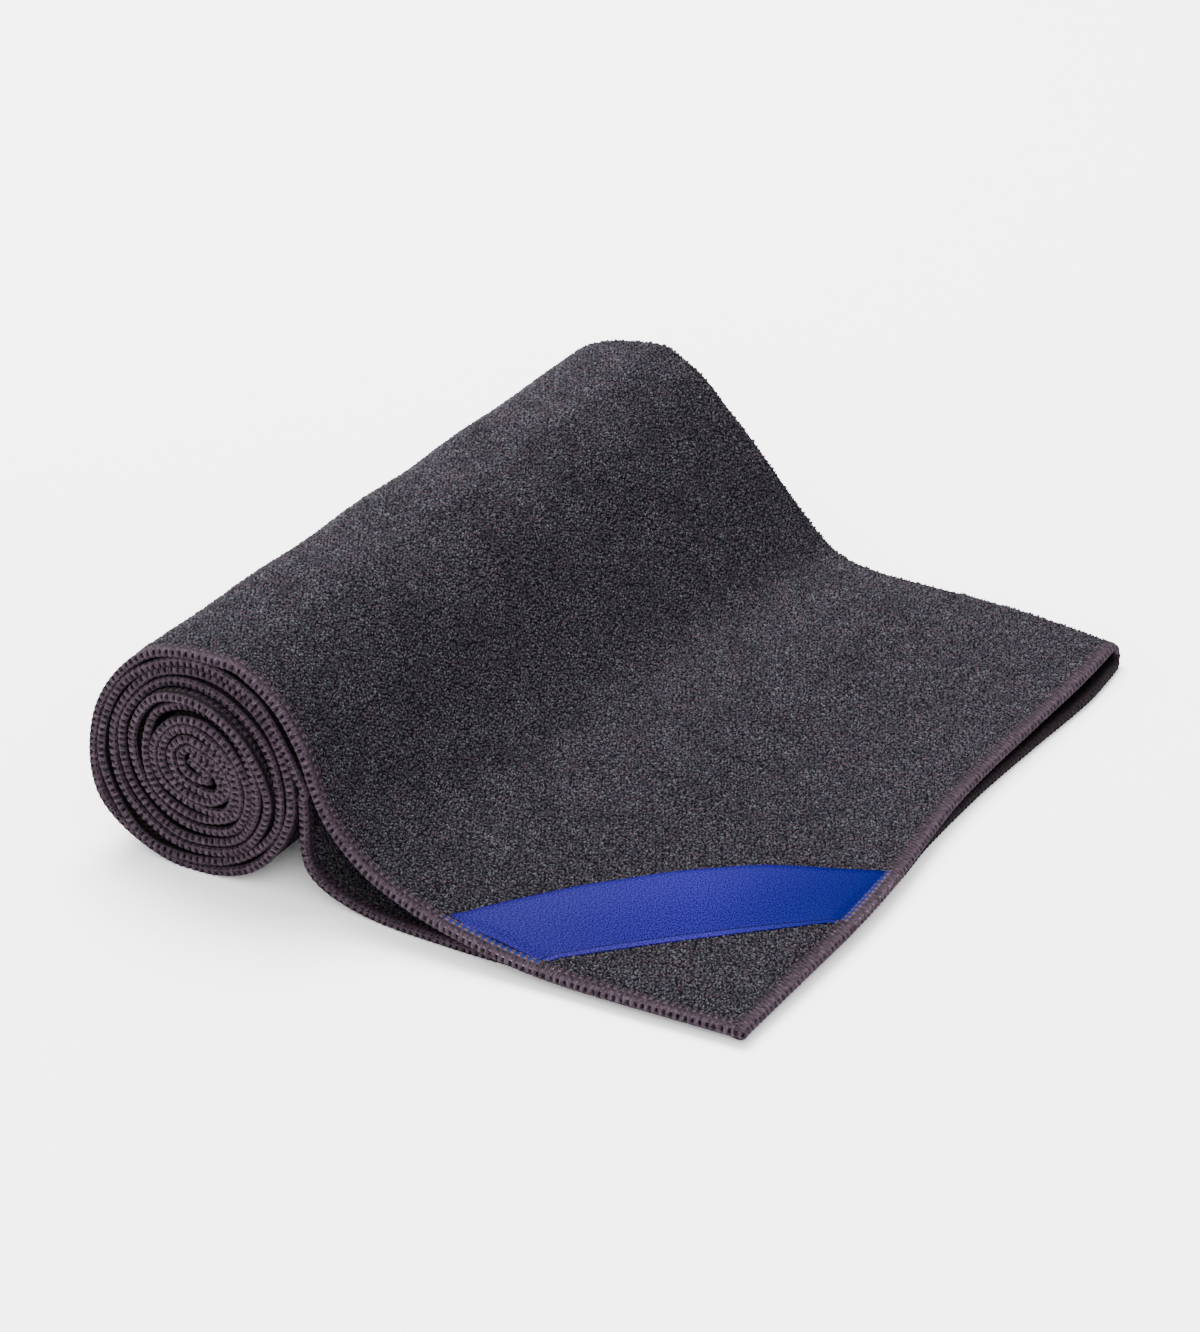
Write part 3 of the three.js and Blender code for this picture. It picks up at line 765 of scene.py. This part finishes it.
def stitch_marks(stitch, reach):
    """How strongly each mark shows, by stitch along the seam and reach across it."""
    number = np.round(stitch).astype(int)
    shift = thread_random.uniform(-stitch_spread, stitch_spread, number.max() + 1)[number]
    drawn = thread_random.uniform(*drawn_spread, number.max() + 1)[number]
    uneven = thread_random.uniform(-1, 1, np.broadcast(stitch, reach).shape)
    whole = (stitch + shift - number) * stitch_length
    half = (np.abs(stitch - number) - 0.5) * stitch_length
    side = np.abs(reach)
    off_chain = reach - chain_place
    from_hole = np.sqrt((whole / hole_long) ** 2 + (off_chain / hole_wide) ** 2)
    round_edge = hump_at(off_chain, bead_wide)
    flat = np.clip((side - flat_place) / flat_blend, 0, 1)
    lower, upper = needle_rows
    needle_row = hump_at(side - lower, needle_row_wide[0]) + hump_at(side - upper, needle_row_wide[1])
    off_rows = side - (lower + upper) / 2
    dash = np.clip(dash_contrast * np.cos(2 * np.pi * (stitch + 0.5)) + dash_share, 0, 1)
    threads = np.cos(2 * np.pi * threads_per_stitch * (stitch - reach / thread_slant))
    padded_threads = np.cos(2 * np.pi * (stitch * padded_threads_per_stitch - reach / padded_slant))
    return {
        "bead": (0.5 - 0.5 * np.cos(2 * np.pi * stitch)) * round_edge,
        "ring": hump_at(from_hole - ring_place, ring_wide),
        "hole": hump_at(from_hole, 1.0) * drawn,
        "slit": hump_at(whole, slit_long) * round_edge,
        "small_hole": hump_at(np.sqrt(half ** 2 + (side - small_hole_place) ** 2), small_hole_size),
        "flat": flat,
        "uneven": uneven,
        "glint": (uneven > glint_from) * flat,
        "dash": dash * needle_row,
        "needle_row": needle_row,
        "eye": hump_at(off_rows, eye_wide) * hump_at(whole, eye_long),
        "threads": threads * flat,
        "padded_threads": padded_threads * flat * padded_roughness * (1 + uneven),
        "pad": hump_at(side - pad_place, pad_wide),
        "flank": flank_shade * hump_at(side - flank_place, flank_wide) + flat_side_shade * flat,
        "light_dot": hump_at(whole, light_dot_size) * hump_at(reach - light_dot_place, light_dot_size),
        "caught_dash": dash * np.clip(needle_row, 0, 1),
        "window": hump_at(off_rows, window_wide) * hump_at(whole, eye_long),
    }


def hem_relief(stitch, reach, effects, crowded, caught):
    """Height of the thread over the hem, and how light it is, by stitch and reach."""
    marks = stitch_marks(stitch, reach)
    height = sum(raised * marks[name] for name, (raised, lighter) in effects.items())
    tone = thread_tone + sum(lighter * marks[name] for name, (raised, lighter) in effects.items())
    # Painted shade on the thread where the turns of the roll crowd each other.
    tone = tone * (1 - np.minimum(marks["flank"], deepest_crowded_shade) * crowded)
    tone = tone + marks["light_dot"] * caught
    seam = caught_tone + caught_dash * marks["caught_dash"] - caught_window * marks["window"]
    on_seam = caught_share(reach) * caught
    tone = tone * (1 - on_seam) + seam * on_seam
    return height * mm, np.clip(tone, 0, 1)


def make_hem(name, lines, effects=plain_marks, caught=0, crowded_from=None, shade=0):
    """A sleeve of thread along an edge line with its directions into and out of the cloth."""
    edge, inward, normal, lengths = lines
    reach = hem_places
    stitch = lengths / stitch_length
    caught = np.broadcast_to(np.asarray(caught, float), lengths.shape)[:, None]
    # How far the painted shade of crowded turns has grown in along this hem.
    crowded = 0
    if crowded_from is not None:
        crowded = np.clip((lengths[:, None] - crowded_from) / crowding_length, 0, 1)
    relief, tone = hem_relief(stitch[:, None], reach[None, :], effects, crowded, caught)
    # Painted shade laid over the thread's tone.
    tone = tone * (1 - shade)
    into, height, out_in, out_up = hem_profile(reach)
    fade = np.clip((hem_reach - np.abs(reach)) / lip_width, 0, 1)
    level = height * (1 - lip_drop * (1 - fade))
    outside = (
        edge[:, None]
        + inward[:, None] * (into + relief * out_in - thread_set_in)[:, :, None]
        + normal[:, None] * (level + relief * out_up)[:, :, None]
    )
    back_in = hem_reach - back_inset
    back_up = np.array([back_height, -back_height]) * edge_radius
    inside = edge[:, None] + inward[:, None] * back_in + normal[:, None] * back_up[None, :, None]
    ring = np.concatenate([outside, inside], axis=1)
    ring[:, :, 2] = np.maximum(ring[:, :, 2], 0.0)
    rows, columns = ring.shape[:2]
    numbers = np.arange(rows * columns).reshape(rows, columns)
    looped = np.concatenate([numbers, numbers[:, :1]], axis=1)
    quads = np.stack([looped[:-1, :-1], looped[1:, :-1], looped[1:, 1:], looped[:-1, 1:]], axis=-1)
    caps = [numbers[0].tolist(), numbers[-1, ::-1].tolist()]
    piece = make_piece(name, ring.reshape(-1, 3), quads.reshape(-1, 4).tolist() + caps)
    ring_reach = np.concatenate([reach, [0, 0]])
    marks = np.zeros((rows, columns, 3))
    marks[:, :, 0] = stitch[:, None]
    marks[:, :, 1] = ring_reach[None, :] / mm
    marks[:, :, 2] = caught * caught_share(ring_reach)[None, :]
    mark_points(piece, "thread_tone", np.concatenate([tone, np.full((rows, 2), back_tone)], axis=1))
    mark_points(piece, "thread_place", marks)
    return piece


def even_steps(line, counted):
    """Even lengths along an edge, some to each stitch, and where they fall in its own count."""
    lengths = lengths_along(line)
    even = np.arange(0, lengths[-1], stitch_length / steps_per_stitch)
    return even, np.interp(even, lengths, counted)


def edge_lines(edge, inside, lengths, facing):
    """An edge with its directions into the cloth and out of its face, and its lengths."""
    along = unit(np.gradient(edge, axis=0))
    inward = inside - edge
    inward = unit(inward - along * np.sum(inward * along, axis=1)[:, None])
    return edge, inward, unit(facing * np.cross(along, inward)), lengths


def near_hem_lines(across, inside, facing):
    """The lines of one near hem, from the open end to the inner end."""
    lengths, rows = even_steps(middle_surface(dense_rows, [across])[:, 0], dense_rows)
    pair = middle_surface(rows, [across, inside])
    return edge_lines(pair[:, 0], pair[:, 1], lengths, facing)


hem_share = hem_width / roll_length
ribbon_on_hem = (78.0 * mm, 107.0 * mm)      # across, on the near hem
top_crowded_knot, under_crowded_knot = open_knots + 6, open_knots - 3
top_lines = near_hem_lines(0.0, hem_share, facing=-1)
top_x = top_lines[0][:, 0]
top_caught = (top_x > ribbon_on_hem[0]) & (top_x < ribbon_on_hem[1])
top_crowded_from = np.interp(top_crowded_knot, dense_rows, top_lengths)
top_hem = make_hem("top_hem", top_lines, caught=top_caught, crowded_from=top_crowded_from)

under_lines = near_hem_lines(3.0, 3.0 - hem_share, facing=1)
under_crowded_from = np.interp(under_crowded_knot, dense_rows, under_lengths)
under_hem = make_hem("under_hem", under_lines, crowded_from=under_crowded_from)

# The end hem is a little padded, and painted with shade where it faces the gap between the two layers,
# under the top layer.
ribbon_on_end = (57.5 * mm, 86.5 * mm)       # along the roll, on the end hem
gap_reach = -0.8 * mm
under_layer_from = 1.5
gap_shade_strength = 0.62
gap_least, gap_full_from = 0.5, 60 * mm
end_row, inside_row = 0.0, 0.25
layer_count, bend_count = 1500, 200
end_across = np.concatenate([
    np.linspace(0, 1, layer_count),
    np.linspace(1, 2, bend_count)[1:],
    np.linspace(2, 3, layer_count)[1:],
])
end_even, end_steps = even_steps(middle_surface(np.array([end_row]), end_across)[0], end_across)
end_pair = middle_surface(np.array([end_row, inside_row]), end_steps)
end_lines = edge_lines(end_pair[0], end_pair[1], end_even, facing=1)
end_y = end_pair[0][:, 1]
end_caught = (end_y > ribbon_on_end[0]) & (end_y < ribbon_on_end[1]) & (end_steps < 1)
facing_gap = (hem_places[None, :] < gap_reach) | (end_steps[:, None] >= under_layer_from)
end_shade = gap_shade_strength * facing_gap * np.clip(end_y[:, None] / gap_full_from, gap_least, 1)
end_hem = make_hem("end_hem", end_lines, padded_marks, caught=end_caught, shade=end_shade)

overlock_thread, thread_shader = start_finish("overlock thread", roughness=0.75, shine=0.04)
thread_shade = add_node(overlock_thread, "ShaderNodeAttribute", attribute_name="thread_tone")
thread_colour = add_ramp(overlock_thread, [
    (0.1, (0.0016, 0.001, 0.0014)),
    (0.46, (0.024, 0.0158, 0.022)),
    (0.72, (0.046, 0.0315, 0.043)),
    (0.88, (0.085, 0.07, 0.1)),
    (1.0, (0.19, 0.17, 0.24)),
])
caught_colour = add_ramp(overlock_thread, [
    (0.25, (0.002, 0.006, 0.06)),
    (0.5, (0.021, 0.0145, 0.024)),
    (0.8, (0.085, 0.04, 0.022)),
])
thread_place = add_node(overlock_thread, "ShaderNodeAttribute", attribute_name="thread_place")
thread_spun = add_node(overlock_thread, "ShaderNodeMapping", {
    "Rotation": (0, 0, 0.15), "Scale": (3.6, 0.6, 0),
})
thread_grain = add_node(overlock_thread, "ShaderNodeTexNoise", {"Scale": 1.0, "Detail": 3})
thread_contrast = add_node(overlock_thread, "ShaderNodeMapRange", {
    "From Min": 0.3, "From Max": 0.7, "To Min": 0.35, "To Max": 1.65,
})
thread_streaks = add_product(overlock_thread)
caught_parts = add_node(overlock_thread, "ShaderNodeSeparateXYZ")
caught_mix = add_node(overlock_thread, "ShaderNodeMix", data_type="RGBA")
thread_bump = add_node(overlock_thread, "ShaderNodeBump", {"Strength": 0.6, "Distance": 0.0003})
join(thread_shade, "Fac", thread_colour, "Fac")
join(thread_shade, "Fac", caught_colour, "Fac")
join(thread_place, "Vector", thread_spun, "Vector")
join(thread_spun, "Vector", thread_grain, "Vector")
join(thread_grain, "Fac", thread_contrast, "Value")
join(thread_colour, "Color", thread_streaks, "A")
join(thread_contrast, "Result", thread_streaks, "B")
join(thread_place, "Vector", caught_parts, "Vector")
join(caught_parts, "Z", caught_mix, "Factor")
join(thread_streaks, "Result", caught_mix, "A")
join(caught_colour, "Color", caught_mix, "B")
join(caught_mix, "Result", thread_shader, "Base Color")
join(thread_grain, "Fac", thread_bump, "Height")
join(thread_bump, "Normal", thread_shader, "Normal")

for hem in (top_hem, under_hem, end_hem):
    hem.data.materials.append(overlock_thread)
    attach(hem, "root")


# Ribbon
# A royal blue satin ribbon laid across the near corner at 45 degrees. Its ends are caught under
# the hem thread, its outer edge lies on the cloth and its inner edge arches off it.
ribbon_width = 21.6 * mm
ribbon_thickness = 0.35 * mm
ribbon_outer = np.array([[108.0, -0.5], [164.5, 56.0]]) * mm
ribbon_inner = np.array([[78.0, -0.5], [164.5, 86.0]]) * mm
ribbon_clear = 0.1 * mm
# Height of the inner edge over the table, at equal steps from the near hem to the end hem.
ribbon_arch = np.array([9.6, 11.3, 12.6, 13.7, 14.0, 14.3, 13.8, 12.9, 10.8, 8.2, 6.2]) * mm
ribbon_swell = 0.25                # how far it bulges between its two edges
# Its ends go down under the hem thread.
ribbon_dip, ribbon_dip_length, ribbon_dip_bend = 1.0 * mm, 2.6 * mm, 1.5
steps_along, steps_across = 80, 12
flat_knots = 9                     # knots of the cloth that the ribbon may lie on
height_rows, height_columns = 181, 121
near_points = 4
least_distance = 1e-9


def cloth_height(places):
    """Height of the open end's upper face under places given across and along."""
    rows = np.linspace(0, flat_knots, height_rows)
    surface = middle_surface(rows, np.linspace(0, 1, height_columns))
    heights = []
    for x, y in places:
        distance = (surface[:, :, 0] - x) ** 2 + (surface[:, :, 1] - y) ** 2
        nearest = np.argpartition(distance, near_points, axis=None)[:near_points]
        weight = 1 / (distance.ravel()[nearest] + least_distance)
        heights.append(np.sum(surface[:, :, 2].ravel()[nearest] * weight) / np.sum(weight))
    return np.array(heights) + cloth_thickness / 2


run = np.linspace(0, 1, steps_along + 1)[:, None, None]
over = np.linspace(0, 1, steps_across + 1)[None, :, None]
outer_line = ribbon_outer[0] + (ribbon_outer[1] - ribbon_outer[0]) * run
inner_line = ribbon_inner[0] + (ribbon_inner[1] - ribbon_inner[0]) * run
ribbon_plan = outer_line + (inner_line - outer_line) * over
ribbon_shape = ribbon_plan.shape[:2]
ribbon_rest = cloth_height(ribbon_plan.reshape(-1, 2)).reshape(ribbon_shape) + ribbon_clear
inner_height = on_curve(ribbon_arch, run[:, 0, 0] * (len(ribbon_arch) - 1))[:, None]
swell = over[:, :, 0] + ribbon_swell * np.sin(np.pi * over[:, :, 0])
ribbon_level = ribbon_rest[:, :1] + (inner_height - ribbon_rest[:, :1]) * swell
ribbon_level = np.maximum(ribbon_level, ribbon_rest)
from_end = np.minimum(ribbon_plan[:, :, 1], ribbon_outer[1][0] - ribbon_plan[:, :, 0])
dip = ribbon_dip * np.clip(1 - from_end / ribbon_dip_length, 0, 1) ** ribbon_dip_bend
ribbon_under = np.concatenate([ribbon_plan, (ribbon_level - dip)[:, :, None]], axis=2)
ribbon_top = ribbon_under + np.array([0, 0, ribbon_thickness])
ribbon = make_sheet("ribbon", ribbon_top, ribbon_under)

ribbon_cut = np.mean(np.linalg.norm([
    ribbon_outer[1] - ribbon_outer[0],
    ribbon_inner[1] - ribbon_inner[0],
], axis=1))
weave_marks = np.zeros(ribbon_shape + (3,))
weave_marks[:, :, 0] = run[:, :, 0] * ribbon_cut / mm
weave_marks[:, :, 1] = over[:, :, 0] * ribbon_width / mm
mark_points(ribbon, "weave_place", np.tile(weave_marks.reshape(-1, 3), (2, 1)))

satin, satin_shader = start_finish("blue satin", roughness=0.5, shine=0.01)
satin_place = add_node(satin, "ShaderNodeAttribute", attribute_name="weave_place")
satin_parts = add_node(satin, "ShaderNodeSeparateXYZ")
satin_fine = add_node(satin, "ShaderNodeMapping", {"Scale": (2.6, 3.0, 0)})
satin_threads = add_node(satin, "ShaderNodeTexNoise", {"Scale": 1.0, "Detail": 4})
satin_grain = add_ramp(satin, [(0.4, (0.15, 0.18, 0.35)), (0.62, (2.25, 2.0, 1.8))])
satin_bump = add_node(satin, "ShaderNodeBump", {"Strength": 0.3, "Distance": 0.0002})
join(satin_place, "Vector", satin_parts, "Vector")
join(satin_place, "Vector", satin_fine, "Vector")
join(satin_fine, "Vector", satin_threads, "Vector")
join(satin_threads, "Fac", satin_grain, "Fac")
join(satin_threads, "Fac", satin_bump, "Height")
join(satin_bump, "Normal", satin_shader, "Normal")

# A dotted line runs along the ribbon just inside its outer edge, and the edge itself is lighter.
selvedge = add_node(satin, "ShaderNodeMapRange", {"From Min": 0.95, "From Max": 1.55})
selvedge_shade = add_ramp(satin, [
    (0.0, (1.5, 1.35, 1.15)),
    (0.35, (0.12, 0.14, 0.3)),
    (0.65, (0.12, 0.14, 0.3)),
    (1.0, (1, 1, 1)),
])
selvedge_turns = add_node(satin, "ShaderNodeMath", {1: 5.0}, operation="MULTIPLY")
selvedge_dots = add_node(satin, "ShaderNodeMath", operation="SINE")
selvedge_part = add_node(satin, "ShaderNodeMapRange", {
    "From Min": -0.6, "From Max": 0.4, "To Min": 0.45,
})
satin_edged = add_product(satin)
join(satin_parts, "Y", selvedge, "Value")
join(selvedge, "Result", selvedge_shade, "Fac")
join(satin_parts, "X", selvedge_turns, 0)
join(selvedge_turns, "Value", selvedge_dots, 0)
join(selvedge_dots, "Value", selvedge_part, "Value")
join(selvedge_part, "Result", satin_edged, "Factor")
join(satin_grain, "Color", satin_edged, "A")
join(selvedge_shade, "Color", satin_edged, "B")

# Painted light and shade along the ribbon: its blue is lightest in the middle of the arch, where it
# rises to the light, and deepest at the end hem, where it curves down away from it.
satin_run = add_node(satin, "ShaderNodeMapRange", {"From Max": ribbon_cut / mm})
satin_blue_lit_and_shaded = add_ramp(satin, [
    (0.1, (0.0068, 0.0056, 0.064)),
    (0.55, (0.0072, 0.0056, 0.08)),
    (0.95, (0.0013, 0.0023, 0.05)),
])
satin_tone = add_product(satin)
join(satin_parts, "X", satin_run, "Value")
join(satin_run, "Result", satin_blue_lit_and_shaded, "Fac")
join(satin_blue_lit_and_shaded, "Color", satin_tone, "A")
join(satin_edged, "Result", satin_tone, "B")
join(satin_tone, "Result", satin_shader, "Base Color")
ribbon.data.materials.append(satin)

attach(ribbon, "root")
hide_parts("label")
